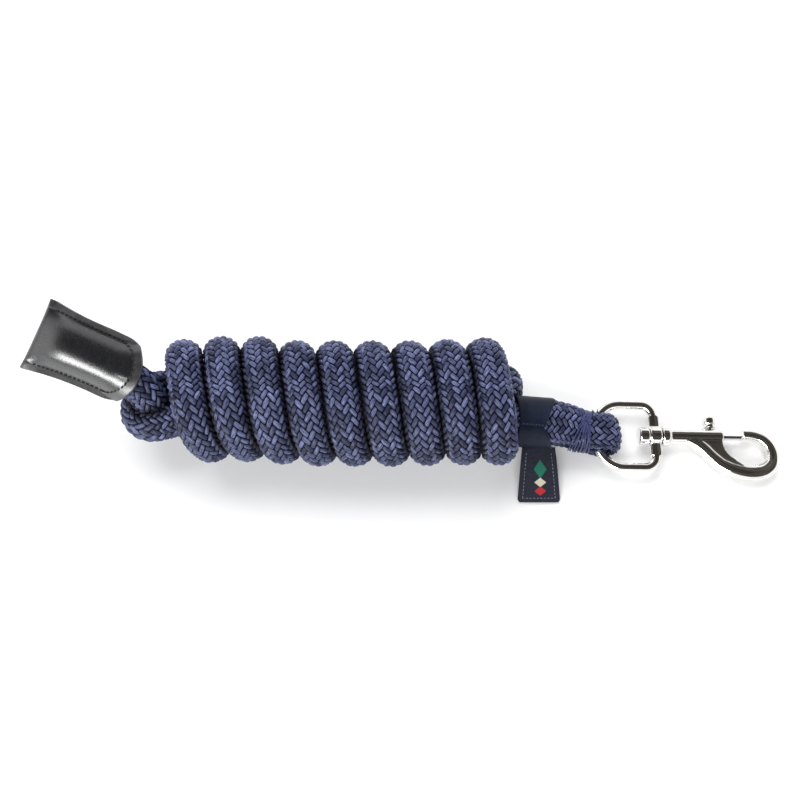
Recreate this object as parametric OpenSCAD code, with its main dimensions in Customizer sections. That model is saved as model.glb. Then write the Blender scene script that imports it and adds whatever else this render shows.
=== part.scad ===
// Lead rope for a horse: a thick braided rope wound into a hank, with a folded leather cap on its tail
// and a swivelling bolt snap sewn to its other end.
// Millimetres. +X runs along the hank towards the snap, +Z is up, and z = 0 is the surface it lies on.
// The origin is on that surface, under the middle of the hank.

/* [Rope] */
// Rope diameter
rope_d = 18; // [17:0.5:18.5]
// Width of the hank across its turns, along Y
hank_w = 61; // [56:1:64]
// Height of the hank, along Z
hank_h = 51; // [48:1:54]
// Left end of the hank's turns, along X
hank_left = -84; // [-86:1:-82]
// Right end of the hank's turns, along X
hank_right = 82.5; // [80:0.5:82.5]

/* [Leather cap] */
// Length of the folded cap, from its round mouth to its fold
cap_l = 52.6; // [48:0.2:56]
// Width of the cap across its seam margins
cap_w = 35.8; // [33:0.2:38]
// Thickness of the two leathers at the seam
cap_edge_t = 4.4; // [3.6:0.2:5]
// Radius of the bulge that the rope end makes in the cap
cap_bulge_r = 9.3; // [8.8:0.1:9.8]

/* [Sleeve and rope eye] */
// Wall of the keeper sleeve
sleeve_wall = 1.4; // [1:0.1:1.8]
// Width of the doubled rope where it leaves the sleeve
eye_w = 23.6; // [22:0.2:24]
// Height of the doubled rope where it leaves the sleeve
eye_h = 19.4; // [18:0.2:20]
// Width of the rope loop around the ring
loop_w = 18.8; // [17:0.2:19]

/* [Label] */
// Width of the label at its free edge
label_w = 21.6; // [18:0.2:22]
// Length of the label from its sewn edge
label_l = 25.6; // [22:0.2:26]
// Thickness of the folded label
label_t = 1.2; // [0.8:0.1:1.4]

/* [Swivel ring] */
// Wire radius of the ring
ring_wire_r = 2.4; // [2:0.1:2.6]
// Half of the ring's width, to the wire's centre
ring_half_w = 16.2; // [15.5:0.1:17]
// Length of the ring from its rope bar to its boss, centre to centre
ring_l = 28.5; // [27.5:0.1:29]
// Radius of the swivel boss
boss_r = 4.8; // [4.6:0.1:5]
// Length of the swivel boss along its axis
boss_l = 6; // [5:0.2:6.4]

/* [Bolt snap] */
// Outer radius of the snap's barrel
barrel_r = 4.1; // [4:0.05:4.4]
// Radius of the bolt rod
rod_r = 1.45; // [1.2:0.05:1.5]
// Travel of the bolt
bolt_travel = 10.5; // [8:0.5:10.5]
// Radius of the thumb knob
knob_r = 3; // [2.6:0.1:3.2]

/* [Hidden] */

// Radial play of each running fit
fit = 0.05;
rope_r = rope_d / 2;
hank_z = hank_h / 2;

// The bight at the left end: the rope's core folds back here, and the tail passes through the fold.
BIGHT_ROUTE = [[-84, -8.5, 25.5], [-91, -10, 25.5], [-96, -7.5, 25], [-98, -1.5, 24.5],
               [-96, 5, 25], [-91, 8, 25.5], [-84, 8, 25.5]];
// The tail leaves the last turn, comes up through the bight and runs into the cap.
TAIL_ROUTE = [[-84, 10, 9.5], [-88, 4, 11], [-90, 0, 17], [-90.5, -1, 25], [-91.5, 0, 33],
              [-94, 3, 38.5], [-99, 6.4, 42], [-105, 9.5, 43.6], [-114, 13.7, 44], [-132, 22.2, 44.3]];
TAIL_R = [8.6, 8.8, 9, 9, 9, 9, 8.6, 7.5, 7.5, 7];
TAIL_REF = [0.25, 1, 0];

// The cap lies along the tail's last stretch.
cap_tip = [-96.8, 5.6, 43.6];
cap_yaw = 154.8;
cap_rise = 1;
// Its near edge hangs lower than its far edge.
cap_roll = -18;
cap_mouth_r = 16.6;
cap_fold_t = 8;
stitch_inset = 4;
stitch_r = 0.45;
stitch_stand = 0.35;

// The doubled rope: sleeve stretch, then the stretch that narrows to the loop around the ring.
sleeve_from = [hank_right + 0.1, -7.6, 20.6];
sleeve_to = [100.4, -7.6, 16.4];
neck_at = [118, -9.9, 10.9];
pivot = [124.4, -11, 8.4];
loop_at = [126.6, -11, 9.6];
loop_r = 9.5;
eye_tunnel_r = 4.4;
sleeve_run = sleeve_to - sleeve_from;
sleeve_pitch = atan2(-sleeve_run[2], sleeve_run[0]);

// The ring and the snap share one straight axis from the rope bar, which runs down to the surface.
snap_pitch = 3.5;
ring_left_r = 12;
ring_right_r = 6;
rivet_r = 2.6;
rivet_head_r = 4.6;
rivet_head_l = 5;
rivet_end = 38;
play = 0.2;
boss_from = ring_l - boss_l / 2;
boss_to = ring_l + boss_l / 2;
collar_r = 5;
collar_l = 4;
collar_from = boss_to + play;
barrel_end = 62.4;
chamber_r = 2.55;
chamber_end = 61;
guide_r = chamber_r - fit;
guide_from = 53;
guide_end = chamber_end - play;
rod_end = 72.7;
knob_x = 57;
stem_r = 1.3;
slot_r = stem_r + fit;
knob_low = barrel_r + 0.5;
knob_h = 5.4;

// The hook: each row is a point on its middle line in the snap's plane, half its width, half its thickness.
HOOK = [[44.0, -0.2, 3.4, 3.3], [49.5, -3.4, 4.3, 3.3], [55.0, -6.6, 4.9, 3.2], [58.9, -11.0, 4.7, 3.2],
        [64.4, -15.0, 4.4, 3.3], [70.4, -17.2, 4.2, 3.4], [75.4, -17.9, 4.2, 3.5], [82.2, -16.8, 4.0, 3.3],
        [86.2, -13.1, 3.6, 3.1],
        [87.4, -8.5, 3.1, 2.9], [86.2, -4.6, 2.9, 2.8], [83.7, -1.6, 2.8, 2.7], [80.6, 0.2, 2.6, 2.6],
        [76.8, 1.2, 2.5, 2.5], [73.0, 1.4, 2.4, 2.4]];

spring_r = 2.1;
spring_wire_r = 0.28;
spring_turns = 6;
spring_from = rivet_end + play;
spring_to = guide_from - play;

label_hinge = [95.6, -18.4, 8.6];
label_pitch = 18.1;
label_top_w = 17.6;

function unit(v) = v / norm(v);

// The direction of a route at each of its points.
function tangent(p, i) = unit(p[min(i + 1, len(p) - 1)] - p[max(i - 1, 0)]);

// One closed surface swept along a route: w and h are the half-widths at each point, ref sets the side.
module sweep(p, w, h, ref, sides) {
    n = len(p);
    points = [for (i = [0 : n - 1])
                  let (t = tangent(p, i), s = unit(cross(ref, t)), u = cross(t, s))
                      for (k = [0 : sides - 1])
                          p[i] + s * w[i] * cos(360 * k / sides) + u * h[i] * sin(360 * k / sides)];
    quads = [for (i = [0 : n - 2], k = [0 : sides - 1])
                 let (m = (k + 1) % sides)
                     [i * sides + k, (i + 1) * sides + k, (i + 1) * sides + m, i * sides + m]];
    walls = [for (q = quads, half = [[q[0], q[1], q[2]], [q[0], q[2], q[3]]]) half];
    first = [[for (k = [0 : sides - 1]) k]];
    last = [[for (k = [sides - 1 : -1 : 0]) (n - 1) * sides + k]];
    polyhedron(points, concat(first, walls, last), convexity = 6);
}

module tube(p, r, ref, sides = 12) {
    sweep(p, r, r, ref, sides);
}

function same(p, r) = [for (q = p) r];

// A thin oval plate facing along X, used as one end of a hull.
module oval(w, h) {
    scale([1, w / 2, h / 2]) rotate([0, 90, 0]) cylinder(h = 0.2, r = 1, center = true, $fn = 32);
}

// Puts its children in the snap's frame: +X along the snap from the rope bar, +Y to its far side.
module snap_frame() {
    translate(pivot) rotate([0, snap_pitch, 0]) children();
}

module along_x(from, to, r) {
    translate([from, 0, 0]) rotate([0, 90, 0]) cylinder(h = to - from, r = r, $fn = 64);
}

module cap_frame() {
    translate(cap_tip) rotate([0, 0, cap_yaw]) rotate([0, -cap_rise, 0]) rotate([cap_roll, 0, 0]) children();
}

module rope_hank() {
    flat = (hank_w - hank_h) / 2;
    color([0.13, 0.14, 0.32])
        translate([hank_left, 0, hank_z]) rotate([90, 0, 90])
            linear_extrude(hank_right - hank_left) union() {
                square([2 * flat, hank_h], center = true);
                for (side = [-1, 1]) translate([side * flat, 0]) circle(r = hank_h / 2, $fn = 96);
            }
}

module rope_bight() {
    color([0.15, 0.16, 0.36]) tube(BIGHT_ROUTE, same(BIGHT_ROUTE, rope_r), [0, 0, 1]);
}

module rope_tail() {
    color([0.17, 0.18, 0.4]) tube(TAIL_ROUTE, TAIL_R, TAIL_REF);
}

// The cap's outer shape: two leathers sewn at the edge, which bulge over the rope end.
module cap_solid(grow) {
    cap_frame() hull() {
        translate([cap_mouth_r, 0, 0])
            cylinder(h = cap_edge_t + 2 * grow, r = cap_mouth_r, center = true, $fn = 32);
        translate([24, 0, 0]) cube([1, 2 * cap_mouth_r, cap_edge_t + 2 * grow], center = true);
        translate([cap_l - 0.5, 0, 0]) cube([1, cap_w, cap_fold_t + 2 * grow], center = true);
        translate([1.5, 0, 0]) rotate([0, 90, 0]) cylinder(h = 36, r = cap_bulge_r + grow, $fn = 32);
    }
}

module leather_end_cap() {
    color([0.06, 0.06, 0.07]) difference() {
        cap_solid(0);
        tube(TAIL_ROUTE, TAIL_R, TAIL_REF);
    }
}

// Stitches that pass through both leathers: two long rows, and an arc on each side of the mouth.
module cap_stitching() {
    row_y = cap_mouth_r - stitch_inset;
    color([0.03, 0.03, 0.03]) intersection() {
        cap_frame() {
            for (side = [-1, 1], x = [18 : 3.4 : 47]) translate([x, side * row_y, 0])
                cylinder(h = 30, r = stitch_r, center = true, $fn = 16);
            for (side = [-1, 1], a = [105 : 16 : 137])
                translate([cap_mouth_r, 0, 0]) rotate([0, 0, side * a]) translate([row_y, 0, 0])
                    cylinder(h = 30, r = stitch_r, center = true, $fn = 16);
        }
        cap_solid(stitch_stand);
    }
}

// The doubled rope inside the sleeve, grown all round and lengthened backwards and forwards.
module sleeve_core(grow, back, fore) {
    along = unit(sleeve_run);
    hull() {
        translate(sleeve_from - along * back) oval(eye_w - 1 + 2 * grow, eye_h - 1 + 2 * grow);
        translate(sleeve_to + along * fore) oval(eye_w - 1 + 2 * grow, eye_h - 1 + 2 * grow);
    }
}

module keeper_sleeve() {
    color([0.1, 0.11, 0.17]) difference() {
        sleeve_core(sleeve_wall, 0, 0);
        sleeve_core(0, 4, 4);
    }
}

// The row of stitches that closes the sleeve along its top.
module sleeve_stitching() {
    top = eye_h / 2 - 0.5 + sleeve_wall;
    color([0.2, 0.22, 0.34])
        for (i = [1 : 5])
            translate(sleeve_from + sleeve_run * i / 6 + [0, 0, top - 0.2])
                rotate([0, sleeve_pitch, 20]) rotate([90, 0, 0])
                    cylinder(h = 2.6, r = 0.6, center = true, $fn = 16);
}

// The stretch that narrows from the sleeve to the ring.
module eye_neck() {
    hull() {
        translate(sleeve_to + [0.3, 0, 0]) oval(eye_w, eye_h);
        translate(neck_at) oval(loop_w + 0.2, 2 * loop_r - 0.6);
    }
}

module rope_eye() {
    color([0.15, 0.16, 0.36]) difference() {
        union() {
            sleeve_core(0, 0, 1);
            eye_neck();
            hull() {
                translate(neck_at) oval(loop_w + 0.2, 2 * loop_r - 0.6);
                translate(loop_at) rotate([90, 0, 0])
                    cylinder(h = loop_w - 6, r = loop_r, center = true, $fn = 32);
                translate(loop_at) rotate([90, 0, 0])
                    cylinder(h = loop_w, r = loop_r - 3, center = true, $fn = 32);
            }
        }
        translate(pivot) rotate([90, 0, 0]) cylinder(h = 40, r = eye_tunnel_r, center = true, $fn = 64);
    }
}

// The band of thread that binds both halves of the rope together behind the ring.
module eye_whipping() {
    run = neck_at - sleeve_to;
    color([0.2, 0.21, 0.45]) difference() {
        hull() {
            translate(sleeve_to + run * 0.55) oval(eye_w - 0.6, eye_h + 1);
            translate(sleeve_to + run * 0.85) oval(loop_w + 3, 2 * loop_r + 1);
        }
        eye_neck();
    }
}

module label_frame() {
    translate(label_hinge) rotate([label_pitch, 0, 0]) children();
}

// The label's folded ribbon, with a round edge where it is sewn to the sleeve.
module label() {
    color([0.07, 0.08, 0.14]) label_frame() {
        translate([0, 0, -label_t / 2]) linear_extrude(label_t)
            polygon([[-label_top_w / 2, 0], [-label_w / 2, -label_l],
                     [label_w / 2, -label_l], [label_top_w / 2, 0]]);
        rotate([0, 90, 0]) cylinder(h = label_top_w, r = label_t / 2, center = true, $fn = 32);
    }
}

// Running stitches along the label's two sides and its free edge, standing a little above its face.
module label_stitching() {
    pitch = 3;
    module dash() {
        rotate([90, 0, 0]) cylinder(h = 1.8, r = 0.3, center = true, $fn = 16);
    }
    color([0.55, 0.57, 0.62]) label_frame() translate([0, 0, label_t / 2]) {
        for (side = [-1, 1], y = [-4 : -pitch : -label_l + 3])
            translate([side * (label_w / 2 - 2.6), y, 0]) dash();
        for (x = [-6 : pitch : 6])
            translate([x, -label_l + 2.4, 0]) rotate([0, 0, 90]) dash();
    }
}

// A quarter of the ring's wire, bent to radius r.
module corner(r) {
    rotate_extrude(angle = 90, $fn = 96) translate([r, 0]) circle(r = ring_wire_r, $fn = 48);
}

module wire(from, to) {
    d = to - from;
    translate(from) rotate([0, 0, atan2(d[1], d[0])]) rotate([0, 90, 0])
        cylinder(h = norm(d), r = ring_wire_r, $fn = 48);
}

module swivel_eye() {
    left_y = ring_half_w - ring_left_r;
    right_y = ring_half_w - ring_right_r;
    color([0.78, 0.78, 0.8]) snap_frame() difference() {
        union() {
            wire([0, -left_y, 0], [0, left_y, 0]);
            for (side = [-1, 1]) {
                wire([ring_left_r, side * ring_half_w, 0], [ring_l - ring_right_r, side * ring_half_w, 0]);
                wire([ring_l, side * right_y, 0], [ring_l, 0, 0]);
            }
            translate([ring_left_r, left_y, 0]) rotate([0, 0, 90]) corner(ring_left_r);
            translate([ring_left_r, -left_y, 0]) rotate([0, 0, 180]) corner(ring_left_r);
            translate([ring_l - ring_right_r, right_y, 0]) corner(ring_right_r);
            translate([ring_l - ring_right_r, -right_y, 0]) rotate([0, 0, -90]) corner(ring_right_r);
            along_x(boss_from, boss_to, boss_r);
            translate([ring_l, 0, 0]) cube([boss_l, 2 * right_y, 1.9 * ring_wire_r], center = true);
        }
        along_x(boss_from - 1, boss_to + 1, rivet_r + fit);
    }
}

// The rivet holds the snap to the ring: its head is inside the ring and its shank is pressed into the snap.
module swivel_rivet() {
    color([0.75, 0.75, 0.78]) snap_frame() {
        along_x(boss_from - play, rivet_end, rivet_r);
        along_x(boss_from - play - rivet_head_l, boss_from - play, rivet_head_r);
    }
}

module hook() {
    points = [for (row = HOOK) [row[0], row[1], 0]];
    sweep(points, [for (row = HOOK) row[2]], [for (row = HOOK) row[3]], [0, 0, 1], 20);
}

module snap_body() {
    color([0.78, 0.78, 0.8]) snap_frame() difference() {
        union() {
            along_x(collar_from, collar_from + collar_l, collar_r);
            along_x(collar_from, barrel_end, barrel_r);
            hook();
        }
        along_x(collar_from - 1, rivet_end, rivet_r);
        along_x(rivet_end - 0.01, chamber_end, chamber_r);
        along_x(chamber_end - 1, rod_end + play, rod_r + fit);
        translate([knob_x - bolt_travel - slot_r, 0, -slot_r]) cube([bolt_travel + 2 * slot_r, 12, 2 * slot_r]);
    }
}

module bolt() {
    color([0.8, 0.8, 0.82]) snap_frame() {
        along_x(guide_from, rod_end, rod_r);
        along_x(guide_from, guide_end, guide_r);
    }
}

// The thumb knob's stem passes through the barrel's slot into the bolt.
module thumb_knob() {
    color([0.8, 0.8, 0.82]) snap_frame() translate([knob_x, 0, 0]) rotate([-90, 0, 0]) {
        translate([0, 0, guide_r - 0.2]) cylinder(h = knob_low - guide_r + 0.4, r = stem_r, $fn = 48);
        translate([0, 0, knob_low]) cylinder(h = 1.6, r = knob_r - 0.5, $fn = 48);
        translate([0, 0, knob_low + 1.6]) cylinder(h = knob_h - 1.6, r = knob_r, $fn = 48);
    }
}

module bolt_spring() {
    steps = 10 * spring_turns;
    route = [for (i = [0 : steps])
                 [spring_from + spring_wire_r + (spring_to - spring_from - 2 * spring_wire_r) * i / steps,
                  spring_r * cos(36 * i), spring_r * sin(36 * i)]];
    color([0.6, 0.6, 0.62]) snap_frame() tube(route, same(route, spring_wire_r), [1, 0, 0], 6);
}

rope_hank();
rope_bight();
rope_tail();
rope_eye();
leather_end_cap();
cap_stitching();
keeper_sleeve();
sleeve_stitching();
eye_whipping();
label();
label_stitching();
swivel_eye();
swivel_rivet();
snap_body();
bolt();
thumb_knob();
bolt_spring();
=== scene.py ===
"""A braided lead rope wound into a hank, with its leather cap, sleeve, label, ring and bolt snap.

Everything is in metres in the frame of the CAD model. Lengths below are written in millimetres
and multiplied by MM where a mesh is made.
"""
import math

import bmesh
import bpy
import numpy as np
from mathutils import Matrix, Vector


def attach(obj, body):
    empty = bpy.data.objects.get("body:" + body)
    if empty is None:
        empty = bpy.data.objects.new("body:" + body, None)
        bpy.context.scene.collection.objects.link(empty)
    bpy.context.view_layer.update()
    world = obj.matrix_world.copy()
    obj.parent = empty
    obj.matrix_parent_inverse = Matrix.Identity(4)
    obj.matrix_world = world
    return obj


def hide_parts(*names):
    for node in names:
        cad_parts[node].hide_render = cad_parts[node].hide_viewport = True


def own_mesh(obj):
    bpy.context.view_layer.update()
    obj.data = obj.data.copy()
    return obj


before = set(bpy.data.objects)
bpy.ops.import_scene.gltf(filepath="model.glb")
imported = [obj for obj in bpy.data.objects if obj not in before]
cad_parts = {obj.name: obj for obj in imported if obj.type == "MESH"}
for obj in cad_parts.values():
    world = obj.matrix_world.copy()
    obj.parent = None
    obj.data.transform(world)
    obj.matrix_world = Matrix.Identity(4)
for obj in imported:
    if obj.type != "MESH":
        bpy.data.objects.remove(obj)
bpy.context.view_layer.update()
scene = bpy.context.scene
MM = 0.001
X, Y, Z = np.eye(3)

# ---------------------------------------------------------------- camera

LOOK_AT = Vector((0.027, 0.0013, 0.0255))
CAMERA_FAR = 0.432
CAMERA_UP = math.radians(70)

camera = bpy.data.objects.new("camera", bpy.data.cameras.new("camera"))
scene.collection.objects.link(camera)
camera.location = LOOK_AT + CAMERA_FAR * Vector((0, -math.cos(CAMERA_UP), math.sin(CAMERA_UP)))
camera.rotation_euler = (math.pi / 2 - CAMERA_UP, 0, 0)
camera.data.sensor_width = 36
camera.data.lens = 40.5
camera.data.clip_start = 0.01
scene.camera = camera


# ---------------------------------------------------------------- mesh helpers

def unit(v):
    return v / np.maximum(np.linalg.norm(v, axis=-1, keepdims=True), 1e-12)


def add_mesh(name, points, faces, smooth=True):
    """An object made of points in metres, and of quads or triangles, all with the same number of corners."""
    mesh = bpy.data.meshes.new(name)
    faces = np.asarray(faces, np.int32)
    count, corners = faces.shape
    mesh.vertices.add(len(points))
    mesh.vertices.foreach_set("co", np.asarray(points, np.float32).ravel())
    mesh.loops.add(count * corners)
    mesh.loops.foreach_set("vertex_index", faces.ravel())
    mesh.polygons.add(count)
    mesh.polygons.foreach_set("loop_start", np.arange(0, count * corners, corners, dtype=np.int32))
    mesh.polygons.foreach_set("use_smooth", np.full(count, smooth))
    mesh.update(calc_edges=True)
    mesh.validate()
    obj = bpy.data.objects.new(name, mesh)
    scene.collection.objects.link(obj)
    return obj


def grid_faces(rows, columns, wrap=False):
    """The quads of a grid of points, rows by columns; wrap joins the last column to the first."""
    i = np.arange(rows - 1)[:, None]
    j = np.arange(columns if wrap else columns - 1)[None, :]
    k = (j + 1) % columns
    return np.stack([i * columns + j, (i + 1) * columns + j,
                     (i + 1) * columns + k, i * columns + k], axis=-1).reshape(-1, 4)


def tube_faces(rings, sides, closed=False):
    """The quads of a tube made of rings of points; closed joins its last ring to its first."""
    return grid_faces(rings + closed, sides, wrap=True) % (rings * sides)


def add_shells(name, shells):
    """Closed shells as one smooth object. Each is (points in mm, quads, sides of its open ends or 0)."""
    mesh = bmesh.new()
    for points, faces, sides in shells:
        verts = [mesh.verts.new(p) for p in np.asarray(points) * MM]
        for face in faces:
            mesh.faces.new([verts[k] for k in face])
        if sides:
            mesh.faces.new(verts[:sides])
            mesh.faces.new(verts[:-sides - 1:-1])
    bmesh.ops.recalc_face_normals(mesh, faces=mesh.faces)
    for face in mesh.faces:
        face.smooth = True
    obj = bpy.data.objects.new(name, bpy.data.meshes.new(name))
    mesh.to_mesh(obj.data)
    mesh.free()
    scene.collection.objects.link(obj)
    return obj


def number_layer(obj, name, values):
    """A number for each point, which the object's material reads by name."""
    layer = obj.data.attributes.new(name, "FLOAT", "POINT")
    layer.data.foreach_set("value", np.asarray(values, np.float32).ravel())


def vector_layer(obj, name, values, domain):
    """A vector for each point or face corner, which the object's material reads by name."""
    layer = obj.data.attributes.new(name, "FLOAT_VECTOR", domain)
    layer.data.foreach_set("vector", np.asarray(values, np.float32).ravel())


def curve_through(rows, step):
    """Rows of numbers, the first three a place, joined by a smooth curve and spaced step apart."""
    rows = np.asarray(rows, float)
    gap = np.sqrt(np.linalg.norm(np.diff(rows[:, :3], axis=0), axis=1))
    at = np.concatenate([[0], np.cumsum(gap)])
    # Slopes of a centripetal Catmull-Rom curve, and a cubic between each pair of rows.
    slope = np.empty_like(rows)
    d = np.diff(rows, axis=0) / gap[:, None]
    slope[1:-1] = (d[:-1] * gap[1:, None] + d[1:] * gap[:-1, None]) / (gap[:-1] + gap[1:])[:, None]
    slope[0], slope[-1] = d[0], d[-1]
    t = np.linspace(0, at[-1], 40 * len(rows))
    k = np.clip(np.searchsorted(at, t, side="right") - 1, 0, len(gap) - 1)
    u = ((t - at[k]) / gap[k])[:, None]
    h = gap[k][:, None]
    fine = ((1 + 2 * u) * (1 - u) ** 2 * rows[k] + u * (1 - u) ** 2 * h * slope[k]
            + u * u * (3 - 2 * u) * rows[k + 1] + u * u * (u - 1) * h * slope[k + 1])
    along = np.concatenate([[0], np.cumsum(np.linalg.norm(np.diff(fine[:, :3], axis=0), axis=1))])
    count = max(2, int(round(along[-1] / step)) + 1)
    where = np.linspace(0, along[-1], count)
    return np.stack([np.interp(where, along, fine[:, c]) for c in range(rows.shape[1])], axis=1)


def tangents(line, closed=False):
    if closed:
        return unit(np.roll(line, -1, 0) - np.roll(line, 1, 0))
    return unit(np.gradient(line, axis=0))


def squarer(value, power):
    """Sines or cosines of a circle, turned by a power below 1 into those of a rounded square."""
    return np.sign(value) * np.abs(value) ** power


def carried_frame(line):
    """Two directions across the line at each point, turning as little as they can along it."""
    t = tangents(line)
    side = np.empty_like(line)
    side[0] = unit(np.cross(t[0], Z if abs(t[0][2]) < 0.9 else X))
    for i in range(1, len(line)):
        v = side[i - 1] - t[i] * side[i - 1].dot(t[i])
        side[i] = v / np.linalg.norm(v)
    return t, side, np.cross(t, side)


# ---------------------------------------------------------------- the rope's route (mm)

ROPE_D = 18.0
TURNS = 9
TURN_PITCH = 18.14
HANK_Z = 25.5
WRAP_FLAT = 5.0       # half of the straight stretch of a turn, on the top and on the underside
WRAP_R = 17.25        # radius of a turn's rope, at its middle, round the two sides
WRAP_HALF = 8.25      # half of the rope's thickness where it is pulled round the core
TOP_X = [-78.3 + TURN_PITCH * i for i in range(TURNS)]
BOTTOM_X = [x + 14.8 - 0.98 * i for i, x in enumerate(TOP_X)]
# How far each turn stands out at the far side and at the near side.
FAR_OUT = [0.6, 2.4, 2.4, -0.1, -0.2, -0.3, -0.3, 0.6, 1.6]
NEAR_OUT = [-1.6, -2.0, -0.6, 0.5, 0.6, 0.7, 0.2, -0.1, 0.1]


def row(place, across, half_a, half_b=ROPE_D / 2):
    """A row of the route: a place, a direction across it, and half-widths along that and square to it."""
    return [*place, *across, half_a, half_b]


def wrap_rows():
    """The nine turns, from the snap's end of the hank to the cap's end."""
    rows = []
    quarter = math.pi / 2 * WRAP_R
    whole = 2 * quarter + 2 * WRAP_FLAT
    for i in reversed(range(TURNS)):
        for over in (1, -1):
            if over == 1:
                x_from, x_to, out_from, out_to = BOTTOM_X[i], TOP_X[i], NEAR_OUT[i], FAR_OUT[i]
            elif i:
                x_from, x_to, out_from, out_to = TOP_X[i], BOTTOM_X[i - 1], FAR_OUT[i], NEAR_OUT[i - 1]
            else:
                break
            for k in range(8):
                run = whole * k / 8
                share = k / 8
                if run < quarter:
                    a = math.pi - run / WRAP_R
                    y, z = -WRAP_FLAT + WRAP_R * math.cos(a), WRAP_R * math.sin(a)
                elif run < quarter + 2 * WRAP_FLAT:
                    a = math.pi / 2
                    y, z = run - quarter - WRAP_FLAT, WRAP_R
                else:
                    a = math.pi / 2 - (run - quarter - 2 * WRAP_FLAT) / WRAP_R
                    y, z = WRAP_FLAT + WRAP_R * math.cos(a), WRAP_R * math.sin(a)
                out = out_from * max(0, -math.cos(a)) ** 2 * (share < 0.5) * -1
                out += out_to * max(0, math.cos(a)) ** 2 * (share > 0.5)
                x = x_from + (x_to - x_from) * share
                place = (x, over * (y + out), HANK_Z + over * z)
                rows.append(row(place, (0, over * math.cos(a), over * math.sin(a)), WRAP_HALF))
    place = (TOP_X[0], WRAP_FLAT + WRAP_R + FAR_OUT[0], HANK_Z)
    return rows + [row(place, (0, 1, 0), WRAP_HALF)]


# The cut end lies in the sleeve. The rope goes round the ring's bar and back through the sleeve.
EYE_ROWS = [
    row((87.0, -7.6, 14.9), (0.2, 0, 1), 4.5, 11.0),
    row((94.0, -7.6, 13.3), (0.2, 0, 1), 4.6, 11.2),
    row((101.0, -7.6, 11.2), (0.25, 0, 1), 4.2, 9.8),
    row((107.0, -8.2, 9.2), (0.25, 0, 1), 4.0, 9.4),
    row((113.0, -9.2, 7.3), (0.25, 0, 1), 3.9),
    row((118.0, -10.2, 5.6), (0.3, 0, 1), 3.5, 8.8),
    row((121.5, -10.8, 4.0), (0.35, 0, 1), 2.9),
    row((125.0, -11.0, 2.7), (0.05, 0, 1), 2.5, 9.4),
    row((128.7, -11.0, 3.1), (-0.45, 0, 0.9), 2.8, 9.4),
    row((131.6, -11.0, 5.5), (-0.85, 0, 0.5), 3.5, 9.4),
    row((132.4, -11.0, 9.2), (-1, 0, 0.05), 3.7, 9.4),
    row((131.2, -11.0, 12.7), (-0.85, 0, -0.5), 3.7, 9.4),
    row((128.3, -11.0, 15.1), (-0.4, 0, -0.9), 3.6, 9.4),
    row((124.5, -11.0, 15.7), (-0.05, 0, -1), 3.7, 9.4),
    row((120.5, -10.6, 15.2), (-0.1, 0, -1), 4.6, 9.7),
    row((116.5, -9.8, 15.2), (-0.2, 0, -1), 5.4, 9.8),
    row((111.5, -8.7, 16.2), (-0.25, 0, -1), 5.9, 10.4),
    row((106.0, -7.9, 17.8), (-0.25, 0, -1), 6.0, 10.9),
    row((100.0, -7.5, 19.8), (-0.25, 0, -1), 5.7, 11.1),
    row((93.0, -7.6, 22.2), (-0.2, 0, -1), 5.1, 11.0),
]
# The core of the hank: out along its near side, round the bight, and back along its far side.
CORE_ROWS = [
    row((84.0, -7.5, 23.6), (0, -0.3, -1), 5.2, 9.6),
    row((79.0, -7.3, 24.6), (0, -0.6, -0.9), 6.6),
    row((66.0, -7.0, 25.5), (0, -1, 0), 7.0),
    row((30.0, -7.0, 25.5), (0, -1, 0), 7.0),
    row((-30.0, -7.0, 25.5), (0, -1, 0), 7.0),
    row((-72.0, -7.4, 25.5), (0, -1, 0), 7.4),
    row((-84.0, -9.6, 25.5), (0.1, -1, 0), 8.6),
    row((-91.0, -10.6, 25.3), (-0.2, -1, 0), 8.8),
    row((-96.2, -8.2, 24.8), (-0.8, -0.7, 0), 8.8),
    row((-98.2, -3.0, 24.2), (-1, 0, 0), 8.8),
    row((-97.0, 4.0, 23.0), (-0.8, 0.6, 0), 8.2),
    row((-92.0, 9.2, 22.0), (-0.3, 1, 0), 7.4),
    row((-84.0, 9.6, 23.5), (0, 1, 0), 7.2),
    row((-72.0, 7.6, 25.3), (0, 1, 0), 7.0),
    row((-30.0, 7.0, 25.5), (0, 1, 0), 7.0),
    row((30.0, 7.0, 25.5), (0, 1, 0), 7.0),
    row((62.0, 7.0, 25.5), (0, 1, 0), 7.0),
    row((71.0, 8.6, 25.5), (0.2, 1, 0), 7.6),
    row((77.0, 11.2, 23.6), (0.8, 0.3, 0.5), 8.6),
    row((79.2, 11.0, 17.0), (1, 0, 0.1), 8.4),
    row((79.0, 5.6, 10.4), (0.7, 0, -0.7), 8.0),
    row((77.4, -3.0, 8.3), (0.1, 0, -1), 8.0),
    row((75.6, -12.0, 9.6), (0, -0.3, -1), 8.2),
    row((74.2, -19.4, 16.0), (0, -0.8, -0.6), 8.25),
]
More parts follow.
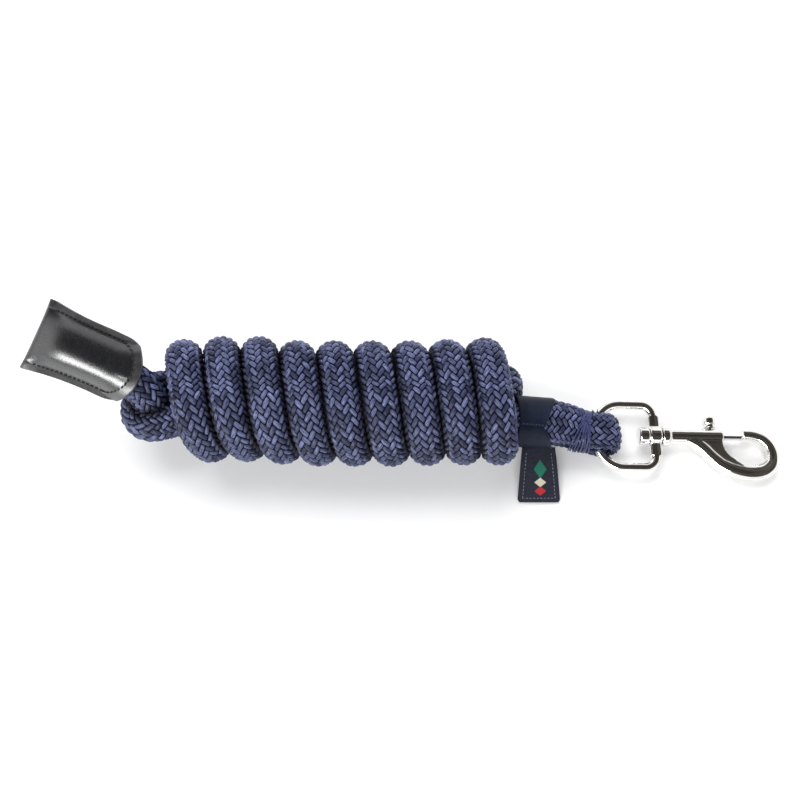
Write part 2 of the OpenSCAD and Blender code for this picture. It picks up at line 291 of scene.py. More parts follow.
# The last turn goes under the hank, comes up through the bight and runs into the leather cap.
TAIL_ROWS = [
    row((-79.6, 20.6, 16.0), (0, 1, -0.6), 8.3),
    row((-82.6, 15.6, 10.2), (0, 0.6, -1), 8.4),
    row((-86.2, 7.6, 8.8), (-0.3, 0, -1), 8.6),
    row((-89.0, 1.4, 12.4), (-0.8, -0.3, -0.6), 8.6),
    row((-90.3, -0.8, 18.6), (-1, 0, -0.1), 8.6),
    row((-90.6, -0.8, 25.6), (-1, 0, 0), 8.7),
    row((-91.5, 0.4, 32.6), (-1, 0, 0.2), 8.8),
    row((-94.2, 3.4, 38.4), (-0.8, 0.4, 0.7), 8.8, 8.8),
    row((-99.2, 6.6, 41.9), (-0.3, 0.2, 1), 8.4, 8.4),
    row((-105.0, 9.5, 43.5), (-0.1, 0, 1), 7.6, 7.8),
    row((-114.0, 13.7, 44.0), (-0.1, 0, 1), 7.5, 7.6),
    row((-123.0, 17.9, 44.2), (-0.1, 0, 1), 7.2, 7.4),
    row((-130.0, 21.2, 44.3), (-0.1, 0, 1), 6.6, 7.0),
]

# ---------------------------------------------------------------- the braided cover

CARRIERS = 16          # strands that turn each way round the rope
BRAID_ANGLE = math.radians(48)
CELL = 5               # mesh steps across one crossing of two strands
LEAD = math.pi * ROPE_D / math.tan(BRAID_ANGLE)
ROW_STEP = LEAD / (2 * CARRIERS * CELL)
YARN_RISE = 1.5        # how far a strand stands above the gaps round it
FILL_INSET = 0.95      # how far the filling lies below the cover's crests
FILL_STEP = 5          # route points between two rings of the filling
FILL_SIDES = 18
COVER_PIECES = 6       # the cover is one mesh for each of these equal stretches
PRESS_STEP = 8         # route points between two places where the pressing is measured
PRESS_SIDES = 24
PRESS_APART = 25.0     # stretches nearer than this along the rope don't count as another stretch
CREASE_SHADE_FULL = 9.4       # from another stretch's middle: painted crease shade is full up to here, and none from here on
CREASE_SHADE_NONE = 13.0      # and free from here on
TONES = (61, 67)       # random tones, enough each way that their repeat doesn't show
tones = np.random.default_rng(7).random(TONES)

route = curve_through(EYE_ROWS + CORE_ROWS + wrap_rows() + TAIL_ROWS, ROW_STEP)
line, across, half_a, half_b = route[:, :3], route[:, 3:6], route[:, 6], route[:, 7]
along, side, up = carried_frame(line)
axis_a = unit(across - along * (across * along).sum(1, keepdims=True))
axis_b = np.cross(along, axis_a)
turned = np.unwrap(np.arctan2((axis_a * up).sum(1), (axis_a * side).sum(1)))


def oval_point(i, angle, grow_a, grow_b):
    """Points on the rope's oval outline at route points i, at angles from the carried frame."""
    a = angle - turned[i]
    return (line[i] + axis_a[i] * (half_a[i] * grow_a * np.cos(a))[..., None]
            + axis_b[i] * (half_b[i] * grow_b * np.sin(a))[..., None])


def crease_shading():
    """Painted shade for the creases between turns: how closely another stretch presses on the cover, from 0 to
    1, for each route point and side.
    """
    rows = np.arange(0, len(line), PRESS_STEP)
    i, a = np.meshgrid(rows, np.linspace(0, 2 * math.pi, PRESS_SIDES, endpoint=False), indexing="ij")
    skin = oval_point(i, a, 1, 1)
    apart = np.abs(rows[:, None] - rows[None, :]) * ROW_STEP > PRESS_APART
    near = np.array([np.linalg.norm(skin[k][:, None] - line[rows[apart[k]]][None], axis=2).min(1)
                     for k in range(len(rows))])
    share = np.clip((CREASE_SHADE_NONE - near) / (CREASE_SHADE_NONE - CREASE_SHADE_FULL), 0, 1)
    every = np.arange(len(line))
    return np.stack([np.interp(every, rows, share[:, c]) for c in range(PRESS_SIDES)], 1)


# Painted shade: the yarn's colour goes near black where another stretch of the rope lies close, in the creases
# between turns.
pressed = crease_shading()


def rope_filling(name):
    """The filling inside the braided cover, as one closed tube along the whole route."""
    keep = np.unique(np.linspace(0, len(line) - 1, len(line) // FILL_STEP).astype(int))
    angle = np.linspace(0, 2 * math.pi, FILL_SIDES, endpoint=False)
    i, a = np.meshgrid(keep, angle, indexing="ij")
    points = oval_point(i, a, 1 - FILL_INSET / half_a[i], 1 - FILL_INSET / half_b[i]).reshape(-1, 3)
    return add_shells(name, [(points, tube_faces(len(keep), FILL_SIDES), FILL_SIDES)])


def braid_piece(name, first, last):
    """The cover between two route points. A mesh line follows every strand's edge, so each strand is crisp."""
    rows = np.arange(first, last + 1)
    count = CARRIERS * CELL
    n = np.arange(count)
    i, j = np.meshgrid(rows, n, indexing="ij")
    angle = 2 * math.pi / count * (j + 0.5 * (i % 2))
    # Lattice coordinates: a counts the strands that turn one way, b those that turn the other.
    total = 2 * j + i % 2
    a = (total + i) // 2
    b = (total - i) // 2
    fa, fb = a % CELL, b % CELL
    ca, cb = a // CELL, b // CELL

    def rise(u, v):
        """Height of a strand at u across it, from -1 to 1, and v along its float, from -1 to 1."""
        return (1 - 0.8 * np.abs(u) ** 2.2) * (1 - 0.6 * np.abs(v) ** 2.2)

    over = (ca + cb) % 4 < 2
    # Each strand runs over two crossings: the half that it is on gives its place along the float.
    half = (ca + cb) % 2
    u_a, v_a = 2 * fa / CELL - 1, fb / CELL + half - 1
    u_b, v_b = 2 * fb / CELL - 1, fa / CELL + half - 1
    height = np.where(over, rise(u_a, v_a), rise(u_b, v_b))
    edge = (fa == 0) | (fb == 0)
    within = np.where(over, (fb == 0) & (half == 1) & (fa > 0), (fa == 0) & (half == 1) & (fb > 0))
    height = np.where(edge & ~within, height * 0.55, height)
    height = height * (1 + 0.14 * (tones[ca % TONES[0], cb % TONES[1]] - 0.5))
    thin_a = (half_a[i] - YARN_RISE * (1 - height)) / half_a[i]
    thin_b = (half_b[i] - YARN_RISE * (1 - height)) / half_b[i]
    points = oval_point(i, angle, thin_a, thin_b)

    # Each quad is the diamond between two neighbours on one row and the points above and below them.
    r = np.arange(1, len(rows) - 1)
    ii, jj = np.meshgrid(r, n, indexing="ij")
    odd = rows[ii] % 2
    left = ii * count + jj
    right = ii * count + (jj + 1) % count
    shift = (jj + odd) % count
    below, above = (ii - 1) * count + shift, (ii + 1) * count + shift
    faces = np.stack([left, below, right, above], axis=-1).reshape(-1, 4)
    obj = add_mesh(name, points.reshape(-1, 3) * MM, faces)
    number_layer(obj, "crest", height)
    # Painted crease shade, carried to each point for the yarn's colour.
    place = angle * PRESS_SIDES / (2 * math.pi)
    lower = np.floor(place).astype(int)
    share = place - lower
    number_layer(obj, "pressed", pressed[i, lower % PRESS_SIDES] * (1 - share)
                + pressed[i, (lower + 1) % PRESS_SIDES] * share)

    # The strand that each face belongs to, and the place on it, for the yarn's filaments.
    low_a = (2 * jj + odd + rows[ii]) // 2
    low_b = (2 * jj + odd - rows[ii]) // 2
    # A diamond covers a in [low_a, low_a + 1] and b in [low_b, low_b + 1].
    a4 = np.stack([low_a, low_a, low_a + 1, low_a + 1], -1).reshape(-1, 4)
    b4 = np.stack([low_b, low_b + 1, low_b + 1, low_b], -1).reshape(-1, 4)
    cell_a, cell_b = low_a.reshape(-1) // CELL, low_b.reshape(-1) // CELL
    face_over = ((cell_a + cell_b) % 4 < 2)[:, None]
    u = np.where(face_over, a4, b4) / CELL
    v = np.where(face_over, b4, a4) / CELL
    # One float is two crossings of a strand, and each float gets a tone of its own.
    half = (cell_a + cell_b) % 2
    tone = tones[(cell_a - half * ~face_over[:, 0]) % TONES[0], (cell_b - half * face_over[:, 0]) % TONES[1]]
    values = np.stack([v, u, np.repeat(tone[:, None], 4, 1)], -1)
    vector_layer(obj, "yarn", values, "CORNER")
    return obj


# ---------------------------------------------------------------- materials

class Nodes:
    """Builds a material, or the world, from nodes."""

    def __init__(self, name, kind=bpy.data.materials, shader="Principled BSDF"):
        self.made = kind.new(name)
        self.made.use_nodes = True
        self.tree = self.made.node_tree
        self.shader = self.tree.nodes[shader]

    def set(self, **values):
        for name, value in values.items():
            self.shader.inputs[name.replace("_", " ")].default_value = value

    def link(self, value, socket):
        if isinstance(value, (int, float)):
            socket.default_value = value
        elif isinstance(value, (tuple, list)):
            socket.default_value = (*value, 1)[:len(socket.default_value)]
        else:
            self.tree.links.new(value, socket)

    def node(self, kind, inputs=(), **settings):
        n = self.tree.nodes.new("ShaderNode" + kind)
        for key, value in settings.items():
            setattr(n, key, value)
        for key, value in dict(inputs).items():
            self.link(value, n.inputs[key])
        return n

    def math(self, operation, *values):
        n = self.node("Math", operation=operation)
        for socket, value in zip(n.inputs, values):
            self.link(value, socket)
        return n.outputs[0]

    def place(self):
        return self.node("TexCoord").outputs["Object"]

    def attribute(self, name):
        return self.node("Attribute", attribute_name=name)

    def noise(self, vector, scale, detail=3.0, roughness=0.5):
        return self.node("TexNoise", {"Vector": vector, "Scale": scale, "Detail": detail,
                                      "Roughness": roughness}).outputs["Fac"]

    def scaled(self, vector, factors):
        return self.node("Mapping", {"Vector": vector, "Scale": factors}).outputs[0]

    def ramp(self, value, low, high, to_low=0.0, to_high=1.0):
        return self.node("MapRange", {"Value": value, "From Min": low, "From Max": high,
                                      "To Min": to_low, "To Max": to_high}).outputs[0]

    def mix(self, factor, a, b, blend="MIX"):
        n = self.node("Mix", data_type="RGBA", blend_type=blend)
        for socket, value in ((n.inputs[0], factor), (n.inputs[6], a), (n.inputs[7], b)):
            self.link(value, socket)
        return n.outputs[2]

    def colour(self, value):
        self.link(value, self.shader.inputs["Base Color"])

    def rough(self, value):
        self.link(value, self.shader.inputs["Roughness"])

    def bump(self, height, distance, strength=1.0):
        n = self.node("Bump", {"Height": height, "Distance": distance, "Strength": strength})
        self.tree.links.new(n.outputs[0], self.shader.inputs["Normal"])


def yarn_material():
    """Filament yarn: fine bright filaments that run along each strand, over a darker ground, with painted
    shade in the gaps between strands and in the creases between turns.
    """
    m = Nodes("yarn")
    yarn = m.attribute("yarn").outputs["Vector"]
    parts = m.node("SeparateXYZ", {0: yarn})
    filaments = m.noise(m.scaled(yarn, (1.1, 11.0, 31.0)), 1.0, 2.0, 0.6)
    crest = m.attribute("crest").outputs["Fac"]
    patch = m.noise(m.place(), 55.0, 2.0)
    light = m.math("MULTIPLY", m.ramp(filaments, 0.34, 0.66, 0.05, 1.0),
                   m.ramp(parts.outputs[2], 0, 1, 0.1, 1.0))
    light = m.math("MULTIPLY", light, m.ramp(patch, 0.3, 0.7, 0.75, 1.1))
    tone = m.mix(light, (0.006, 0.008, 0.030), (0.205, 0.235, 0.450))
    # Painted shade in the creases between turns, where another stretch lies close.
    crease_shade_here = m.attribute("pressed").outputs["Fac"]
    # Painted shade: the colour goes near black in the gaps between strands, where the crest is low.
    unshaded = m.math("MULTIPLY", m.ramp(crest, 0.12, 0.66), m.ramp(crease_shade_here, 0.0, 1.0, 1.0, 0.02))
    m.colour(m.mix(unshaded, (0.0006, 0.0008, 0.0026), tone))
    m.rough(m.ramp(unshaded, 0.2, 0.8, 0.8, m.ramp(filaments, 0.3, 0.8, 0.5, 0.26)))
    m.bump(filaments, 0.00025, 1.0)
    m.set(Sheen_Weight=0.02, Sheen_Roughness=0.4, Sheen_Tint=(0.62, 0.66, 0.95, 1), Specular_IOR_Level=0.22)
    return m.made


def filling_material():
    """The inner yarn, seen only at the bottom of the gaps in the braid; its near-black colour is painted
    shade.
    """
    m = Nodes("filling_yarn")
    strands = m.noise(m.place(), 700.0, 3.0, 0.6)
    # Painted shade: near black, for the shade at the bottom of the braid's gaps.
    m.colour(m.mix(m.ramp(strands, 0.3, 0.7), (0.0008, 0.001, 0.003), (0.003, 0.0035, 0.010)))
    m.rough(m.ramp(strands, 0.3, 0.7, 0.85, 0.7))
    m.bump(strands, 0.0003, 0.8)
    m.set(Specular_IOR_Level=0.05)
    return m.made


THREAD_GRAIN = 1500.0


def thread_material(name, dark, bright, roughness):
    """Sewing thread, with fine plies along it."""
    m = Nodes(name)
    grain = m.noise(m.place(), THREAD_GRAIN, 3.0, 0.6)
    m.colour(m.mix(m.ramp(grain, 0.35, 0.7), dark, bright))
    m.rough(m.ramp(grain, 0.3, 0.7, roughness + 0.1, roughness))
    m.bump(grain, 0.0001, 0.6)
    m.set(Sheen_Weight=0.03, Sheen_Roughness=0.4, Specular_IOR_Level=0.28)
    return m.made


def leather_material():
    """Glossy black leather: fine grain, and a duller, rougher margin outside the stitches, whose lighter
    colour is partly wear and partly painted sheen.
    """
    m = Nodes("cap_leather")
    margin = m.attribute("margin").outputs["Fac"]
    cells = m.node("TexVoronoi", {"Vector": m.place(), "Scale": 1500.0}, feature="DISTANCE_TO_EDGE").outputs[0]
    creases = m.noise(m.place(), 260.0, 5.0, 0.65)
    broad = m.noise(m.place(), 60.0, 3.0)
    # The margin's lighter grey is partly wear and partly painted sheen.
    wear_and_sheen = m.math("MULTIPLY", m.ramp(creases, 0.40, 0.62), margin)
    tone = m.mix(m.ramp(broad, 0.3, 0.7), (0.005, 0.0055, 0.0065), (0.009, 0.0095, 0.012))
    m.colour(m.mix(wear_and_sheen, tone, (0.022, 0.022, 0.025)))
    smooth = m.ramp(creases, 0.3, 0.7, 0.22, 0.30)
    m.rough(m.math("ADD", smooth, m.math("MULTIPLY", margin, 0.16)))
    height = m.math("ADD", m.math("MULTIPLY", m.math("MINIMUM", cells, 0.12), 1.6),
                    m.math("MULTIPLY", creases, m.ramp(margin, 0, 1, 0.35, 2.2)))
    m.bump(height, 0.00012, 0.55)
    m.set(Specular_IOR_Level=0.9, Coat_Weight=0.35, Coat_Roughness=0.24)
    return m.made


def sleeve_material():
    """Smooth dark navy coated cloth, with a fine crosswise grain."""
    m = Nodes("sleeve_cloth")
    grain = m.noise(m.scaled(m.place(), (1.0, 0.5, 0.5)), 2400.0, 2.0, 0.6)
    soft = m.noise(m.place(), 120.0, 3.0)
    tone = m.mix(m.ramp(soft, 0.35, 0.7), (0.004, 0.006, 0.014), (0.009, 0.013, 0.027))
    m.colour(m.mix(m.ramp(grain, 0.45, 0.75, 0, 0.35), tone, (0.02, 0.027, 0.05)))
    m.rough(m.ramp(grain, 0.3, 0.7, 0.42, 0.52))
    m.bump(grain, 0.00006, 0.6)
    m.set(Specular_IOR_Level=0.12)
    return m.made


def label_material():
    """Woven ribbon: fine ribs across it, and three plain lozenges woven in at its middle."""
    m = Nodes("label_ribbon")
    parts = m.node("SeparateXYZ", {0: m.attribute("cloth").outputs["Vector"]})
    u, v, face = parts.outputs[0], parts.outputs[1], parts.outputs[2]
    ribs = m.math("SINE", m.math("MULTIPLY", v, 2 * math.pi / 0.34))
    ends = m.math("SINE", m.math("MULTIPLY", u, 2 * math.pi / 0.30))
    weave = m.math("MULTIPLY", ribs, ends)
    fuzz = m.noise(m.place(), 900.0, 3.0, 0.7)
    tone = m.mix(m.ramp(fuzz, 0.3, 0.7), (0.006, 0.007, 0.014), (0.018, 0.020, 0.036))
    tone = m.mix(m.ramp(weave, 0.2, 1.0, 0, 0.5), tone, (0.028, 0.030, 0.052))
    for middle, half_u, half_v, dye in ((-9.6, 3.1, 4.6, (0.010, 0.17, 0.10)),
                                        (-16.0, 2.9, 2.3, (0.66, 0.62, 0.50)),
                                        (-20.2, 2.9, 2.3, (0.45, 0.018, 0.030))):
        far = m.math("ADD", m.math("DIVIDE", m.math("ABSOLUTE", m.math("SUBTRACT", u, 0.6)), half_u),
                     m.math("DIVIDE", m.math("ABSOLUTE", m.math("SUBTRACT", v, middle)), half_v))
        inside = m.math("LESS_THAN", m.math("ADD", far, m.math("MULTIPLY", weave, 0.03)), 1.0)
        shade = m.mix(m.ramp(weave, -1, 1, 0.0, 0.35), dye, (0.02, 0.02, 0.03))
        tone = m.mix(m.math("MULTIPLY", inside, face), tone, shade)
    m.colour(tone)
    m.rough(m.ramp(fuzz, 0.3, 0.7, 0.75, 0.85))
    m.bump(m.math("ADD", weave, m.math("MULTIPLY", fuzz, 1.5)), 0.00004, 0.8)
    m.set(Sheen_Weight=0.05, Sheen_Roughness=0.5, Specular_IOR_Level=0.2)
    return m.made


def nickel_material():
    """Polished nickel plate on a cast surface that is very slightly uneven."""
    m = Nodes("nickel")
    uneven = m.noise(m.place(), 140.0, 2.0)
    fine = m.noise(m.place(), 2600.0, 2.0)
    m.colour(m.mix(m.ramp(uneven, 0.3, 0.7), (0.80, 0.785, 0.765), (0.86, 0.85, 0.83)))
    m.rough(m.ramp(fine, 0.3, 0.8, 0.05, 0.11))
    m.bump(uneven, 0.0003, 0.10)
    m.set(Metallic=1.0)
    return m.made


def steel_material():
    m = Nodes("spring_wire")
    drawn = m.noise(m.scaled(m.place(), (1, 6, 6)), 900.0, 3.0)
    m.colour(m.mix(m.ramp(drawn, 0.3, 0.7), (0.46, 0.46, 0.48), (0.62, 0.62, 0.64)))
    m.rough(m.ramp(drawn, 0.3, 0.7, 0.25, 0.4))
    m.set(Metallic=1.0)
    return m.made


def floor_material():
    m = Nodes("paper")
    grain = m.noise(m.place(), 3.0, 2.0)
    m.colour(m.mix(grain, (0.86, 0.865, 0.87), (0.88, 0.885, 0.89)))
    m.rough(m.ramp(grain, 0.0, 1.0, 0.7, 0.8))
    m.set(Specular_IOR_Level=0.2)
    return m.made


YARN = yarn_material()
FILLING = filling_material()
NAVY_THREAD = thread_material("navy_thread", (0.009, 0.011, 0.038), (0.070, 0.082, 0.21), 0.32)
SEAM_THREAD = thread_material("seam_thread", (0.012, 0.016, 0.04), (0.05, 0.065, 0.12), 0.45)
BLACK_THREAD = thread_material("black_thread", (0.004, 0.004, 0.004), (0.014, 0.014, 0.014), 0.5)
GREY_THREAD = thread_material("grey_thread", (0.10, 0.11, 0.14), (0.30, 0.32, 0.37), 0.6)
LEATHER = leather_material()
SLEEVE = sleeve_material()
RIBBON = label_material()
NICKEL = nickel_material()
STEEL = steel_material()


def dress(obj, material):
    obj.data.materials.clear()
    obj.data.materials.append(material)


def solid(obj, thickness, offset=0.0, levels=0):
    """Gives a sheet its thickness, and rounds its rim."""
    modifier = obj.modifiers.new("thickness", "SOLIDIFY")
    modifier.thickness = thickness * MM
    modifier.offset = offset
    modifier.use_even_offset = True
    if levels:
        rounding = obj.modifiers.new("rounding", "SUBSURF")
        rounding.levels = rounding.render_levels = levels


# ---------------------------------------------------------------- the rope

filling = rope_filling("lead_rope")
cuts = np.linspace(1, len(line) - 2, COVER_PIECES + 1).astype(int)
covers = [braid_piece(f"rope_braid_{k + 1}", cuts[k] - (1 if k else 0), cuts[k + 1])
          for k in range(COVER_PIECES)]
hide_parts("rope_hank", "rope_bight", "rope_tail", "rope_eye")


# ---------------------------------------------------------------- small threads

BEAD_SIDES = 8


def bead(middle, direction, normal, length, radius, lift):
    """One stitch as a shell: a short rounded thread along direction, whose middle stands up by lift radii."""
    direction, normal = unit(np.asarray(direction, float)), unit(np.asarray(normal, float))
    across_it = np.cross(direction, normal)
    rings = ((-0.5, 0.35), (-0.42, 0.8), (-0.2, 1.0), (0.2, 1.0), (0.42, 0.8), (0.5, 0.35))
    points = []
    for at, size in rings:
        bow = radius * lift * (1 - 4 * at * at)
        for k in range(BEAD_SIDES):
            a = 2 * math.pi * k / BEAD_SIDES
            points.append(np.asarray(middle) + direction * at * length
                          + (normal * math.cos(a) + across_it * math.sin(a)) * radius * size + normal * bow)
    return points, tube_faces(len(rings), BEAD_SIDES), BEAD_SIDES


def beads(name, rows):
    """Many stitches as one piece; rows hold bead's values."""
    return add_shells(name, [bead(*values) for values in rows])


def thread_tubes(name, routes, radius, sides=8):
    """Round threads along routes, as one piece. A route that ends where it starts is a closed loop."""
    a = np.linspace(0, 2 * math.pi, sides, endpoint=False)[:, None]
    shells = []
    for points in routes:
        points = np.asarray(points, float)
        closed = bool(np.linalg.norm(points[0] - points[-1]) < 1e-6)
        if closed:
            points = points[:-1]
        t = tangents(points, closed)
        out = points - points.mean(0)
        out = unit(out - t * (out * t).sum(1, keepdims=True))
        other = np.cross(t, out)
        size = np.full((len(points), 1, 1), float(radius))
        if not closed:
            size[[0, -1]] *= 0.5
        ring = out[:, None] * np.cos(a) + other[:, None] * np.sin(a)
        shells.append(((points[:, None] + ring * size).reshape(-1, 3),
                       tube_faces(len(points), sides, closed), 0 if closed else sides))
    return add_shells(name, shells)


# ---------------------------------------------------------------- the leather cap

CAP_MOUTH_R = 16.7
CAP_L = 52.6
CAP_LIP = 7.0            # how far the upper leather reaches over the rope, past the cap's mouth
CAP_SKIN = 2.1           # the leather's thickness
CAP_INSET = 4.1          # from the leather's edge to its stitches
CAP_PRESSED = 1.08       # half of the gap between the middles of the two leathers, where they are sewn
CAP_FOLD_RISE = 1.9      # how much further apart they are at the middle of the fold
CAP_PITCH = 2.35         # from stitch to stitch
SLOPE_STEP = 0.15        # to each side of a stitch, where the leather's slope is measured
NEAR_TUCK = 2.6          # how much narrower the cap's near half is at the mouth
cap_place = (Matrix.Translation((-96.8, 5.6, 43.6)) @ Matrix.Rotation(math.radians(154.8), 4, "Z")
             @ Matrix.Rotation(math.radians(-1), 4, "Y") @ Matrix.Rotation(math.radians(-18), 4, "X"))
CAP_FRAME = np.array(cap_place)


def to_world(points, place):
    return np.asarray(points, float) @ place[:3, :3].T + place[:3, 3]


def cap_half_width(x, y):
    """The sides draw in a little, and flare to the corners at the fold; y's sign chooses the side."""
    s = np.clip((x - CAP_MOUTH_R) / (CAP_L - CAP_MOUTH_R), 0, 1)
    tuck = NEAR_TUCK * (1 - s) * (y > 0)
    return CAP_MOUTH_R - 0.3 * np.sin(math.pi * np.minimum(s * 1.3, 1)) + 1.2 * s ** 3 - tuck


def cap_edge_gap(x, y):
    """How far a place on the leather is from its stitched edge."""
    half = cap_half_width(x, y)
    round_gap = half - np.hypot(np.minimum(x - CAP_MOUTH_R + CAP_LIP, 0) * half / CAP_MOUTH_R, y)
    return np.where(x < CAP_MOUTH_R - CAP_LIP, round_gap, half - np.abs(y))


def cap_height(x, y):
    """Half of the gap between the middles of the two leathers: the rope end fills them to a dome."""
    inner = cap_half_width(x, y) - 0.5 - (CAP_INSET - 0.9) * np.clip((x + CAP_LIP) / 17, 0, 1)
    q = np.clip(np.abs(y) / inner, 0, 1)
    across_it = (1 - q ** 2) ** 0.7
    far_end = 1 - np.clip((x - 29) / 20, 0, 1) ** 2.2
    full = 7.3 * across_it * far_end
    puff = 0.9 * np.clip((cap_edge_gap(x, y) - CAP_INSET) / 5, 0, 1) * far_end
    groove = 0.3 * np.exp(-((cap_edge_gap(x, y) - CAP_INSET) / 0.6) ** 2)
    fold = CAP_FOLD_RISE * (1 - (np.abs(y) / 18) ** 2) * np.clip((x - 41) / 9, 0, 1) ** 2
    return CAP_PRESSED + full + puff - groove + fold


def leather_cap(name):
    """One leather, folded at the far end, as a sheet that solidify turns into a skin."""
    columns = np.sin(np.linspace(-math.pi / 2, math.pi / 2, 49))
    # The fold's own half-depth, least at the two corners, which also stand out furthest.
    depth = CAP_PRESSED + CAP_FOLD_RISE * (1 - columns ** 2)
    end = CAP_L - CAP_SKIN / 2 - depth - 0.7 * (1 - columns ** 2)

    def leaf(lip):
        start = CAP_MOUTH_R * (1 - np.sqrt(np.maximum(0, 1 - columns ** 2))) - lip
        for s in np.linspace(0, 1, 44):
            x = start + (end - start) * s
            y = columns * cap_half_width(x, columns)
            yield np.stack([x, y, cap_height(x, y)], -1)

    rows = list(leaf(CAP_LIP))
    last = rows[-1]
    for a in np.linspace(0, math.pi, 9)[1:-1]:
        rows.append(np.stack([last[:, 0] + depth * math.sin(a), last[:, 1], last[:, 2] * math.cos(a)], -1))
    rows += [row_below * (1, 1, -1) for row_below in reversed(list(leaf(-2.0)))]
    points = np.array(rows)
    grid = points.reshape(-1, 3)
    obj = add_mesh(name, to_world(grid, CAP_FRAME) * MM, grid_faces(len(rows), len(columns)))
    gap = cap_edge_gap(grid[:, 0], grid[:, 1])
    number_layer(obj, "margin", np.clip((CAP_INSET + 0.3 - gap) / 0.8, 0, 1))
    solid(obj, CAP_SKIN, levels=1)
    return obj


def cap_stitch_rows():
    """Both long sides and the round mouth; only the upper leather reaches over the rope at the mouth."""
    rows = []
    marks = []
    for side_y in (-1, 1):
        for x in np.arange(CAP_MOUTH_R - CAP_LIP + 0.8, CAP_L - 6, CAP_PITCH):
            y = side_y * (float(cap_half_width(x, side_y)) - CAP_INSET)
            marks.append((x, y, (1, 0)))
    r = CAP_MOUTH_R - CAP_INSET
    count = int(math.pi * r / CAP_PITCH)
    for k in range(count):
        a = math.pi / 2 + math.pi * (k + 0.5) / count
        wide = r - NEAR_TUCK * (math.sin(a) > 0)
        marks.append((CAP_MOUTH_R - CAP_LIP + r * math.cos(a), wide * math.sin(a),
                      (-math.sin(a), math.cos(a))))
    for x, y, way in marks:
        slope_x = (cap_height(x + SLOPE_STEP, y) - cap_height(x - SLOPE_STEP, y)) / (2 * SLOPE_STEP)
        slope_y = (cap_height(x, y + SLOPE_STEP) - cap_height(x, y - SLOPE_STEP)) / (2 * SLOPE_STEP)
        for over in (1, -1) if x > CAP_MOUTH_R + 2 else (1,):
            normal = unit(np.array([-slope_x, -slope_y, 1.0])) * (1, 1, over)
            skew = np.array([way[0] * 0.96 - way[1] * 0.28, way[1] * 0.96 + way[0] * 0.28, 0])
            direction = skew - normal * skew.dot(normal)
            middle = np.array([x, y, cap_height(x, y) * over]) + normal * (CAP_SKIN / 2 + 0.14)
            rows.append((to_world(middle, CAP_FRAME), CAP_FRAME[:3, :3] @ direction,
                         CAP_FRAME[:3, :3] @ normal, 1.75, 0.38, 0.3))
    return rows


cap = leather_cap("folded_leather_cap")
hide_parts("leather_end_cap")
cap_thread = beads("cap_thread", cap_stitch_rows())
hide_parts("cap_stitching")

# ---------------------------------------------------------------- sleeve

SLEEVE_FROM = np.array([80.9, -7.6, 21.0])
SLEEVE_TO = np.array([100.8, -7.6, 16.3])
SLEEVE_AX = unit(SLEEVE_TO - SLEEVE_FROM)
SLEEVE_UP = unit(np.cross(SLEEVE_AX, Y))
SEAM_AT = math.radians(113)
SLEEVE_HALF = (12.2, 10.1)
SLEEVE_SQUARE = 0.92
SLEEVE_LAP = math.radians(14)
SLEEVE_STEPS = 96
NOTCH_DEPTH = 0.37             # as a share of the sleeve's length
NOTCH_HALF = math.radians(75)


def sleeve_point(share, angle, stand=0.0):
    """A place on the sleeve's middle surface: share along it, angle round it from the far side."""
    size = 1.0 - 0.012 * math.sin(math.pi * share)
    place = SLEEVE_FROM + (SLEEVE_TO - SLEEVE_FROM) * share
    wide = (SLEEVE_HALF[0] * size + stand) * squarer(math.cos(angle), SLEEVE_SQUARE)
    high = (SLEEVE_HALF[1] * size + stand) * squarer(math.sin(angle), SLEEVE_SQUARE)
    return place + Y * wide + SLEEVE_UP * high


def sleeve_end(angle):
    """The front edge is notched back at the seam."""
    away = abs((angle - SEAM_AT + math.pi) % (2 * math.pi) - math.pi)
    return 1.0 - NOTCH_DEPTH * max(0.0, 1 - away / NOTCH_HALF)


def keeper(name):
    """A strip wrapped once round the doubled rope, its far edge lapped over its near edge at the seam."""
    rows = []
    angles = np.linspace(SEAM_AT, SEAM_AT - 2 * math.pi - SLEEVE_LAP, SLEEVE_STEPS + 1)
    for k, angle in enumerate(angles):
        over = 1 - k / SLEEVE_STEPS
        stand = 0.85 * max(0.0, 1 - (1 - over) / 0.10)
        end = sleeve_end(angle) if over > 0.06 else sleeve_end(SEAM_AT) - 0.02
        rows.append([sleeve_point(end * s, angle, stand) for s in np.linspace(0, 1, 15)])
    points = np.array(rows)
    obj = add_mesh(name, points.reshape(-1, 3) * MM, grid_faces(*points.shape[:2]))
    solid(obj, 0.9, levels=1)
    return obj


sleeve = keeper("wrapped_sleeve")
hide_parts("keeper_sleeve")

SEAM_STAND = 1.32
seam_rows = []
for share in np.linspace(0.06, 0.60, 8):
    here = sleeve_point(share, SEAM_AT - 0.05, SEAM_STAND)
    there = sleeve_point(share + 0.05, SEAM_AT - 0.07, SEAM_STAND)
    normal = unit(sleeve_point(share, SEAM_AT, 5) - sleeve_point(share, SEAM_AT, 0))
    seam_rows.append(((here + there) / 2, there - here, normal, 0.95, 0.17, 0.5))
seam = beads("sleeve_seam_thread", seam_rows)
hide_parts("sleeve_stitching")

# ---------------------------------------------------------------- whipping on the neck

EYE_STATIONS = np.array([  # x, middle y, middle z, half-width, half-height
    (100.4, -7.6, 16.3, 11.5, 9.4), (106.0, -8.1, 14.4, 11.5, 9.5), (112.0, -9.0, 12.6, 10.9, 9.5),
    (118.0, -10.0, 11.0, 10.0, 9.4), (124.0, -10.9, 9.8, 9.6, 9.6), (128.0, -11.0, 9.4, 9.5, 9.4)])


NECK_SQUARE = 0.82


